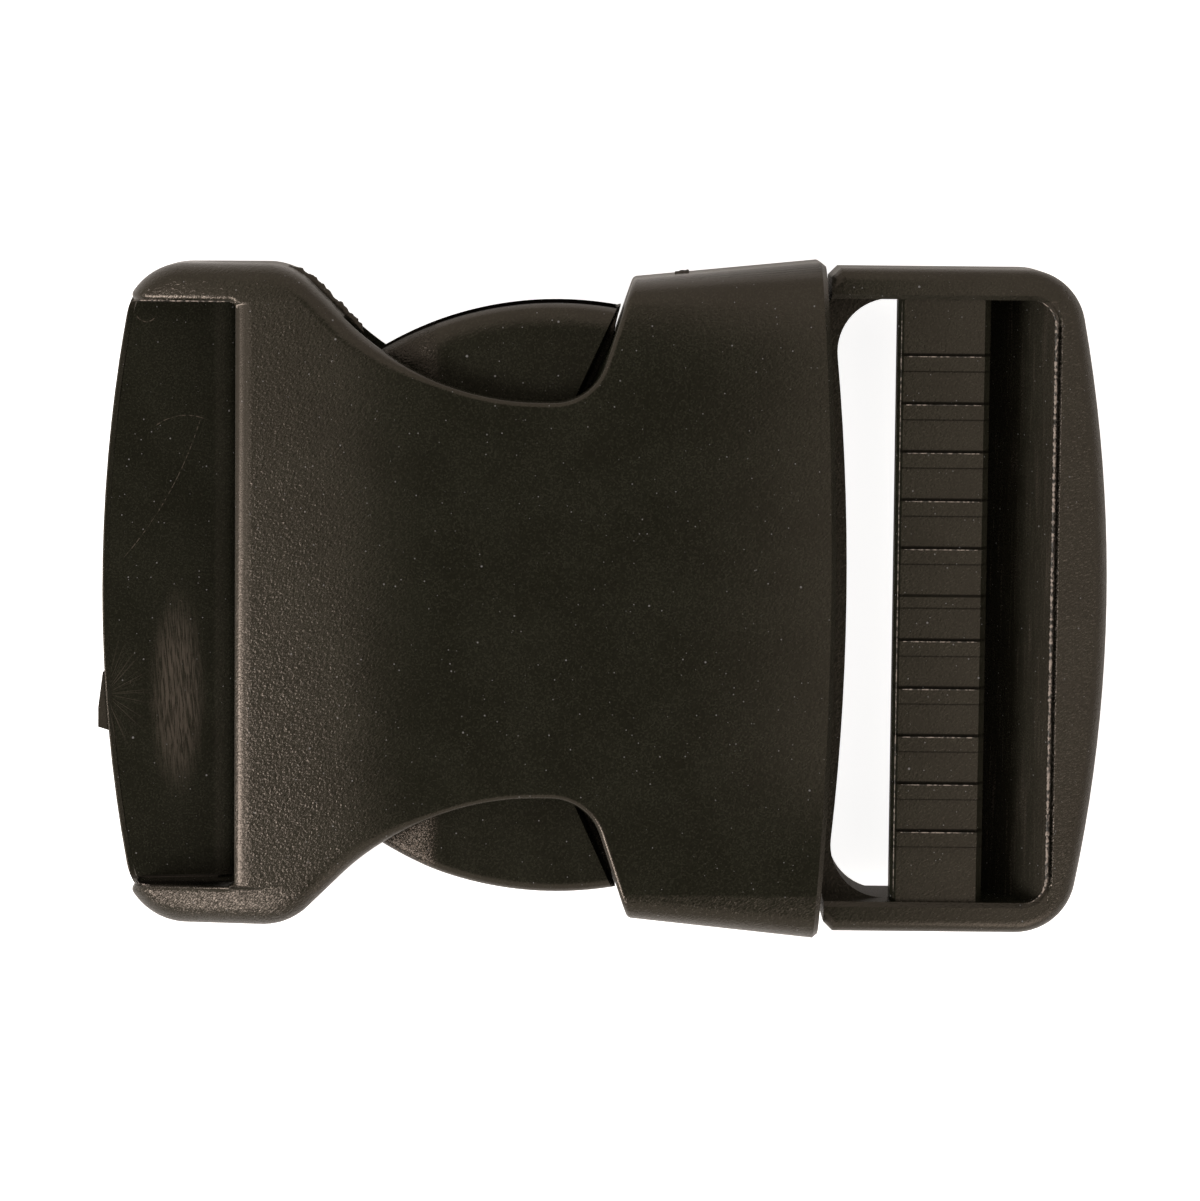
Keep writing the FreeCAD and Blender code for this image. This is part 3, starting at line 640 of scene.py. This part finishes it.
# The outer face of the upper pad is painted dark: a painted reflection of the shaded paper.
outer_face = product_of(tree, upper_pad, shaded(tree, from_arc, PAD_ARC[2] - 0.2, PAD_ARC[2] - 0.08))
rim = product_of(tree, band(tree, x, *RIM, 0.1), shaded(tree, half, RIM_HALF, RIM_HALF - 1.0))
# Painted shade on the outer face, the wall, the lines beside the ribs and the rim; the tips are darkened
# too.
dark = sum_of(tree, outer_face, product_of(tree, wall, DARK_WALL), product_of(tree, rib_painted_shadow, DARK_LINE),
              product_of(tree, pad_tip, DARK_TIP), product_of(tree, rim, DARK_LINE))
finish_acetal(tree, spot, depth, bulge, scuff, LATCH_GLOSS, dark)
for name, node in nodes.items():
    if name != "receiver_body":
        node.data.materials.clear()
        node.data.materials.append(latch_acetal)
print(latch_acetal.name, len(tree.nodes), "nodes")

# %% [markdown]
# A side arm of the plug is one curved spring with a finger pad at its end. On the real buckle the
# pad's outer face is a long arc, its upper and lower edges are rolled over, its tip is a blunt
# wedge and its heel drops off steeply where it catches behind the collar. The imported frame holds
# the arm as a plain stem and a plain pad. Here the arm becomes one smooth skin: a row of rounded
# sections from the tip to the root, joined from ring to ring. The heel is an arc about the root,
# so that it comes clear of the catch when the pad is pressed.

# %% Sizes of a side arm
ARM_ROOT = (18.0, 20.15)      # mm, where the arm bends, on the latch's base
ARM_HALF = 4.2                # mm, half the arm's height
LEVEL = 6.75                  # mm, height of the parting plane
NOSE = (-19.3, 19.6)          # mm, middle of the round tip
NOSE_REACH = (1.3, 2.0, 1.55)    # mm, from there to the left, inwards and outwards
NOSE_TURNS = range(12, 91, 13)   # degrees, where the sections of the round tip lie
PAD_INSIDE = (-8.0, 16.0, 0.0125)    # mm, deepest place of the pad's inner face, and how it curves
PAD_STEPS = 30
RAMP = (-14.2, 0.259)         # mm, where the tip starts to thin, and by how much per mm
RAMP_BLEND = 0.5              # mm, how softly it starts
HEEL = 25.2                   # mm, half width at the heel's outer corner
HEEL_RADIUS = 17.21           # mm, of the heel's face about the root
HEEL_HALF = 2.4               # mm, half the height at the heel
HEEL_LEAN = 4.0               # mm, how far the last section of the pad leans back
LEAN_FROM = -11.0             # mm, where the sections start to lean
CATCH_CORNER = (0.98, 22.6)   # mm, where the heel's face meets the edge of the collar's catch
CATCH_LEAN = 0.333            # mm that the catch stands further out per mm of half width
CATCH_GAP = 0.02              # mm
STEM_HALF = 1.15              # mm, half the stem's thickness
STEM_SIDES = (ARM_ROOT[1] - STEM_HALF, ARM_ROOT[1] + STEM_HALF)
NECK = (                      # mm, from the heel's foot to the stem: inner XY, outer XY, half height
    ((-1.7, 16.6), (CATCH_CORNER[0] - CATCH_LEAN - CATCH_GAP, CATCH_CORNER[1] - 1.0), 2.9),
    ((-0.4, 17.3), (1.0, STEM_SIDES[1]), 3.5),
    ((0.9, 18.3), (1.6, STEM_SIDES[1]), 4.0),
    ((2.0, 18.85), (2.3, STEM_SIDES[1]), ARM_HALF),
)
ROLL = (0.9, 0.9)             # mm, how far the pad's outer edge is rolled over, inwards and down
SHARP = (0.25, 0.25)          # mm, the same at every other edge

# %% [markdown]
# A section is stated by its inner and outer end, seen from above, its half height and the roll of
# its outer edge. The pad's sections follow its tip and its long arc and lean back more and more
# towards the heel. Those of the stem go down the heel's face, through the neck and to the root.

# %% A side arm as a row of sections
def heel_x(y):
    """X of the heel's face at a half width, on its arc about the root."""
    return ARM_ROOT[0] - math.sqrt(HEEL_RADIUS ** 2 - (y - ARM_ROOT[1]) ** 2)


def pad_sections():
    """Sections of the pad from its tip to where the heel drops."""
    rows = []
    for degrees in NOSE_TURNS:
        turn = math.radians(degrees)
        x = NOSE[0] - NOSE_REACH[0] * math.cos(turn)
        rows.append(((x, NOSE[1] - NOSE_REACH[1] * math.sin(turn)),
                     (x, NOSE[1] + NOSE_REACH[2] * math.sin(turn)), 0.9 + 0.1 * math.sin(turn)))
    last_x = heel_x(HEEL) - 0.3
    for step in range(1, PAD_STEPS + 1):
        x = NOSE[0] + (last_x - NOSE[0]) * step / PAD_STEPS
        lean = max(0.0, (x - LEAN_FROM) / (last_x - LEAN_FROM)) ** 2
        inner_x = x - HEEL_LEAN * lean
        inner_y = PAD_INSIDE[1] + PAD_INSIDE[2] * (inner_x - PAD_INSIDE[0]) ** 2
        outer_y = PAD_ARC[1] + math.sqrt(PAD_ARC[2] ** 2 - (x - PAD_ARC[0]) ** 2)
        rows.append(((inner_x, inner_y), (x, outer_y), 1.0))
    sections = []
    for inner, outer, share in rows:
        beyond = RAMP[0] - outer[0]
        thinner = RAMP[1] * (beyond + math.hypot(beyond, RAMP_BLEND)) / 2
        width = math.dist(inner, outer)
        roll = (min(ROLL[0], 0.45 * width), min(ROLL[1], 0.35 * width))
        sections.append((inner, outer, (ARM_HALF - thinner) * share, roll))
    return sections


def stem_sections():
    """Sections from the heel, which has dropped, along the stem to the root's round end."""
    inner = (-2.2, 16.4)
    sections = []
    for y in (HEEL, 24.3, 23.4, CATCH_CORNER[1]):
        sections.append((inner, (heel_x(y), y), HEEL_HALF, SHARP))
        inner = (inner[0] + 0.1, inner[1] + 0.03)
    sections += [(*section, SHARP) for section in NECK]
    for x in range(3, 19):
        sections.append(((x, STEM_SIDES[0]), (x, STEM_SIDES[1]), ARM_HALF, SHARP))
    for degrees in (30, 55, 75):
        turn = math.radians(degrees)
        x, half_width = ARM_ROOT[0] + STEM_HALF * math.sin(turn), STEM_HALF * math.cos(turn)
        sections.append(((x, ARM_ROOT[1] - half_width), (x, ARM_ROOT[1] + half_width), ARM_HALF, SHARP))
    return sections


arm_sections = pad_sections() + stem_sections()
print(len(arm_sections), "sections, heel corner at X", round(heel_x(HEEL), 2), "mm")

# %% [markdown]
# Each section is a rectangle with a large quarter ellipse at its outer corners and a small one at
# its inner corners. Two extra points next to a corner keep the flat top flat when the skin is
# shaded smooth. The lower arm is the upper one's mirror image, so its faces have to be turned
# outwards again. The stem bends between the pad and the base.

# %% Skin of the side arms
SMOOTH_UP_TO = math.radians(35)


def quarter(centre, reach, start, count):
    """Points of a quarter ellipse that starts at an angle in degrees."""
    turns = [math.radians(start + 90 * step / count) for step in range(count + 1)]
    return [(centre[0] + reach[0] * math.cos(turn), centre[1] + reach[1] * math.sin(turn))
            for turn in turns]


def section_ring(inner, outer, half_height, roll, side):
    """Points around one section, in metres."""
    width = math.dist(inner, outer)
    small = min(SHARP[0], 0.2 * width)
    near, far = min(2 * small, 0.4 * width), max(width - roll[0] - 0.2, 0.5 * width)
    across = [
        *quarter((small, small - half_height), (small, small), 180, 2),
        (near, -half_height), (far, -half_height),
        *quarter((width - roll[0], roll[1] - half_height), roll, 270, 8),
        *quarter((width - roll[0], half_height - roll[1]), roll, 0, 8),
        (far, half_height), (near, half_height),
        *quarter((small, half_height - small), (small, small), 90, 2),
    ]
    points = []
    for along, up in across:
        share = along / width
        points.append(Vector((inner[0] + (outer[0] - inner[0]) * share,
                              side * (inner[1] + (outer[1] - inner[1]) * share), LEVEL + up)) * MM)
    return points


def side_arm(name, side):
    """One side arm as a closed skin over its sections."""
    mesh = bpy.data.meshes.new(name)
    skin = bmesh.new()
    rings = [[skin.verts.new(point) for point in section_ring(*section, side)]
             for section in arm_sections]
    for one, other in zip(rings, rings[1:]):
        for k in range(len(one)):
            skin.faces.new((one[k - 1], one[k], other[k], other[k - 1]))
    skin.faces.new(rings[0])
    skin.faces.new(rings[-1])
    bmesh.ops.recalc_face_normals(skin, faces=skin.faces)
    skin.to_mesh(mesh)
    skin.free()
    mesh.shade_smooth()
    mesh.set_sharp_from_angle(angle=SMOOTH_UP_TO)
    mesh.materials.append(latch_acetal)
    arm = bpy.data.objects.new(name, mesh)
    scene.collection.objects.link(arm)
    return arm


for which, side in (("upper", 1), ("lower", -1)):
    arm = side_arm(which + "_side_arm", side)
    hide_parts(which + "_arm_spring", which + "_arm_head")
    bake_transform(arm)
    print(arm.name, len(arm.data.polygons), "faces")

# %% [markdown]
# Where the two halves of a mould meet, a little plastic creeps between them and stays on the part
# as flash, a thin ragged fin. At a sharp edge it leaves a burr that webbing turns pale; its pale
# colour here is also a painted highlight along the edge. Both follow a line, so one Geometry Nodes
# tree makes them all: it sweeps a small round along the line, with a noise that makes it thicker
# and thinner, tapers both ends, and then presses the result flat towards the line's own height.
# The tree has named inputs, so each line sets its own sizes.

# %% Geometry Nodes tree for burrs and flash
BURR_INPUTS = (("Thickness", "Float"), ("Step", "Float"), ("Unevenness", "Float"), ("Blot", "Float"),
               ("Flatness", "Float"), ("Level", "Float"), ("Seed", "Int"))
NOISE_SPREAD = 3.5            # spreads the noise, which stays near its middle, over -1 to 1 and beyond
THINNEST = 0.12               # share of the thickness that is left everywhere
END_TAPER = 20.0              # how quickly both ends reach the full thickness


def burr_tree(material):
    """Tree that turns the edges of a mesh into an uneven bead of a material."""
    tree = bpy.data.node_groups.new("uneven_bead", "GeometryNodeTree")
    for way in ("INPUT", "OUTPUT"):
        tree.interface.new_socket("Geometry", in_out=way, socket_type="NodeSocketGeometry")
    for name, kind in BURR_INPUTS:
        tree.interface.new_socket(name, in_out="INPUT", socket_type="NodeSocket" + kind)
    given = add_node(tree, "NodeGroupInput").outputs
    line = add_node(tree, "GeometryNodeMeshToCurve", {"Mesh": given["Geometry"]})
    line = add_node(tree, "GeometryNodeResampleCurve", {"Curve": line.outputs[0],
                                                        "Length": given["Step"]}, mode="LENGTH")
    place = add_node(tree, "GeometryNodeInputPosition").outputs[0]
    blots = add_node(tree, "ShaderNodeVectorMath", {0: place, 1: given["Blot"]}, operation="DIVIDE")
    swell = add_node(tree, NOISE, {"Vector": blots.outputs[0], "W": given["Seed"], "Scale": 1.0},
                     noise_dimensions="4D")
    swell = add_node(tree, MATHS, {0: swell.outputs[0], 1: NOISE_SPREAD, 2: -NOISE_SPREAD / 2},
                     operation="MULTIPLY_ADD")
    swell = add_node(tree, MATHS, {0: swell.outputs[0], 1: given["Unevenness"], 2: 1.0},
                     operation="MULTIPLY_ADD")
    swell = add_node(tree, MATHS, {0: swell.outputs[0], 1: THINNEST}, operation="MAXIMUM")
    along = add_node(tree, "GeometryNodeSplineParameter").outputs["Factor"]
    back = add_node(tree, MATHS, {0: 1.0, 1: along}, operation="SUBTRACT").outputs[0]
    ends = product_of(tree, along, back, END_TAPER)
    ends = add_node(tree, MATHS, {0: ends, 1: 1.0}, operation="MINIMUM").outputs[0]
    thick = product_of(tree, swell.outputs[0], ends, given["Thickness"])
    profile = add_node(tree, "GeometryNodeCurvePrimitiveCircle", {"Resolution": 8, "Radius": 1.0})
    bead = add_node(tree, "GeometryNodeCurveToMesh", {"Curve": line.outputs[0], "Scale": thick,
                                                      "Profile Curve": profile.outputs[0],
                                                      "Fill Caps": True})
    axes = add_node(tree, "ShaderNodeSeparateXYZ", {0: place}).outputs
    above = sum_of(tree, axes["Z"], product_of(tree, given["Level"], -1.0))
    pressed = sum_of(tree, product_of(tree, above, given["Flatness"]), given["Level"])
    pressed = add_node(tree, "ShaderNodeCombineXYZ", {0: axes["X"], 1: axes["Y"], 2: pressed})
    bead = add_node(tree, "GeometryNodeSetPosition", {0: bead.outputs[0],
                                                      "Position": pressed.outputs[0]})
    bead = add_node(tree, "GeometryNodeSetShadeSmooth", {0: bead.outputs[0]})
    bead = add_node(tree, "GeometryNodeRealizeInstances", {0: bead.outputs[0]})
    bead = add_node(tree, "GeometryNodeSetMaterial", {0: bead.outputs[0], "Material": material})
    add_node(tree, "NodeGroupOutput", {0: bead.outputs[0]})
    return tree


# %% [markdown]
# A bead starts as bare lines, gets the tree as a modifier and is then turned into the plain mesh
# that the tree gives, so that it rides on its body like any other piece.

# %% A bead along lines
def uneven_bead(name, body, slot, tree, paths, **sizes):
    """A bead of uneven thickness along paths given in mm, as a plain mesh that rides on a body."""
    points, edges = [], []
    for path in paths:
        first = len(points)
        points += [Vector(point) * MM for point in path]
        edges += [(k, k + 1) for k in range(first, len(points) - 1)]
    mesh = bpy.data.meshes.new(name)
    mesh.from_pydata(points, edges, [])
    bead = bpy.data.objects.new(name, mesh)
    scene.collection.objects.link(bead)
    modifier = bead.modifiers.new("uneven_bead", "NODES")
    modifier.node_group = tree
    for item in tree.interface.items_tree:
        if item.name in sizes:
            modifier[item.identifier] = sizes[item.name]
    evaluated = bead.evaluated_get(bpy.context.evaluated_depsgraph_get())
    bead.data = bpy.data.meshes.new_from_object(evaluated)
    bead.modifiers.clear()
    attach(bead, body)
    print(name, len(bead.data.polygons), "faces")


# %% [markdown]
# A burr is the same acetal, scuffed in patches until it is pale and dull, which is what makes it
# stand out on the black; the pale colour is also a painted highlight along the edge. Flash is as
# black and glossy as the rest.

# %% Scuffed acetal with a painted highlight
# Pale tones of rubbing, which also paint the highlight along an edge.
SCUFF_AND_PAINTED_HIGHLIGHT = ("#24221d", "#8a8078")       # between and on the rubbed patches
SCUFF_AND_HIGHLIGHT_PATCH = (0.3, 0.3, 0.3)          # mm
SCUFFED_ROUGHNESS = (0.35, 0.6)


def scuffed_and_painted_highlight_acetal():
    """Acetal that is pale and dull from rubbing, and pale also as a painted highlight."""
    material = bpy.data.materials.new("scuffed_and_painted_highlight_black_acetal")
    material.use_nodes = True
    tree = material.node_tree
    shader = tree.nodes["Principled BSDF"].inputs
    shader["IOR"].default_value = ACETAL_IOR
    place = add_node(tree, "ShaderNodeTexCoord").outputs["Object"]
    spot = add_node(tree, "ShaderNodeVectorMath", {0: place, "Scale": 1 / MM}, operation="SCALE")
    patches = pattern(tree, NOISE, spot.outputs["Vector"], SCUFF_AND_HIGHLIGHT_PATCH)["Fac"]
    tone = mixed(tree, shaded(tree, patches, 0.42, 0.62), *SCUFF_AND_PAINTED_HIGHLIGHT)
    tree.links.new(tone, shader["Base Color"])
    tree.links.new(shaded(tree, patches, 0.3, 0.7, *SCUFFED_ROUGHNESS), shader["Roughness"])
    return material


burrs = burr_tree(scuffed_and_painted_highlight_acetal())
fins = burr_tree(receiver_acetal)

# %% [markdown]
# On the socket half there is a burr on the inner edge of the upper ear, which slopes like the
# panel, and a small smooth fillet at the foot of the recess's lower wall.

# %% Burr and fillet of the socket half
EAR_SLOPE = (-22.13, 12.86, 0.1317)    # mm, X and height of a point on the ear's edge; mm per mm
EAR_EDGE = [(x, 25.28, EAR_SLOPE[1] + EAR_SLOPE[2] * (x - EAR_SLOPE[0])) for x in (-40.2, -36.0, -31.7)]
WALL_FOOT = [(-40.0, -25.08, 6.79), (-33.8, -25.08, 5.54), (-32.6, -25.08, 5.35)]

uneven_bead("ear_burr", "receiver", "receiver_acetal", burrs, [EAR_EDGE], Thickness=0.05 * MM,
            Step=0.12 * MM, Unevenness=0.8, Blot=0.4 * MM, Flatness=1.0, Level=11.0 * MM, Seed=2)
uneven_bead("recess_fillet", "receiver", "receiver_acetal", fins, [WALL_FOOT], Thickness=0.12 * MM,
            Step=0.3 * MM, Unevenness=0.1, Blot=2.0 * MM, Flatness=1.0, Level=6.0 * MM, Seed=4)

# %% [markdown]
# On the plug half, burrs sit on the upper edge of each rib, on the bar's left edge and on the rim
# of the end bar's inner wall, which turns down both of its rounded corners.

# %% Burrs of the plug half
RIBS_A_SIDE = 5
RIB_TOP, BAR_RIM, WALL_RIM = 10.98, 10.45, 11.46    # mm, heights of the edges
RIM_CORNER = (36.45, 23.8, 2.3)                     # mm, centre and radius of the wall's corner


def rib_edges():
    """Upper edge of each rib on the middle bar, and the bar's own left edge, in mm."""
    for side in (1, -1):
        for step in range(RIBS_A_SIDE):
            y = side * (FIRST_RIB + step * RIB_PITCH) + RIB_HALF - 0.06
            yield [(BAR[0] + 0.6, y, RIB_TOP), (BAR[1] - 0.6, y, RIB_TOP)]
    yield [(BAR[0] + 0.3, -BAR_HALF, BAR_RIM), (BAR[0] + 0.3, BAR_HALF, BAR_RIM)]


def rim_of_wall():
    """Rim of the end bar's inner wall with its two rounded corners, in mm."""
    turns = [math.radians(degrees) for degrees in range(75, -1, -15)]
    upper_end = [(RIM_CORNER[0] + RIM_CORNER[2] * math.cos(turn),
                  RIM_CORNER[1] + RIM_CORNER[2] * math.sin(turn), WALL_RIM) for turn in turns]
    return upper_end + [(x, -y, z) for x, y, z in reversed(upper_end)]


uneven_bead("rib_burrs", "latch", "latch_acetal", burrs, rib_edges(), Thickness=0.045 * MM,
            Step=0.12 * MM, Unevenness=0.6, Blot=0.3 * MM, Flatness=1.0, Level=RIB_TOP * MM, Seed=3)
uneven_bead("end_bar_burr", "latch", "latch_acetal", burrs, [rim_of_wall()], Thickness=0.12 * MM,
            Step=0.10 * MM, Unevenness=0.7, Blot=0.20 * MM, Flatness=1.0, Level=WALL_RIM * MM, Seed=5)

# %% [markdown]
# The flash sits on the parting line, outside the shoulder of the upper ear, with one nib on the
# collar. It is pressed flat, because the gap between two mould halves is much thinner than deep.

# %% Flash on the parting line
SHOULDER = [(-27.4, 28.15, LEVEL), (-26.3, 27.75, LEVEL), (-25.0, 26.9, LEVEL), (-23.6, 25.5, LEVEL),
            (-22.0, 23.9, LEVEL), (-20.6, 22.5, LEVEL)]
NIB = [(6.1, 27.65, LEVEL), (6.8, 27.75, LEVEL), (7.5, 27.7, LEVEL)]

uneven_bead("parting_line_flash", "receiver", "receiver_acetal", fins, [SHOULDER, NIB],
            Thickness=0.40 * MM, Step=0.15 * MM, Unevenness=0.7, Blot=0.6 * MM, Flatness=0.3,
            Level=LEVEL * MM, Seed=8)
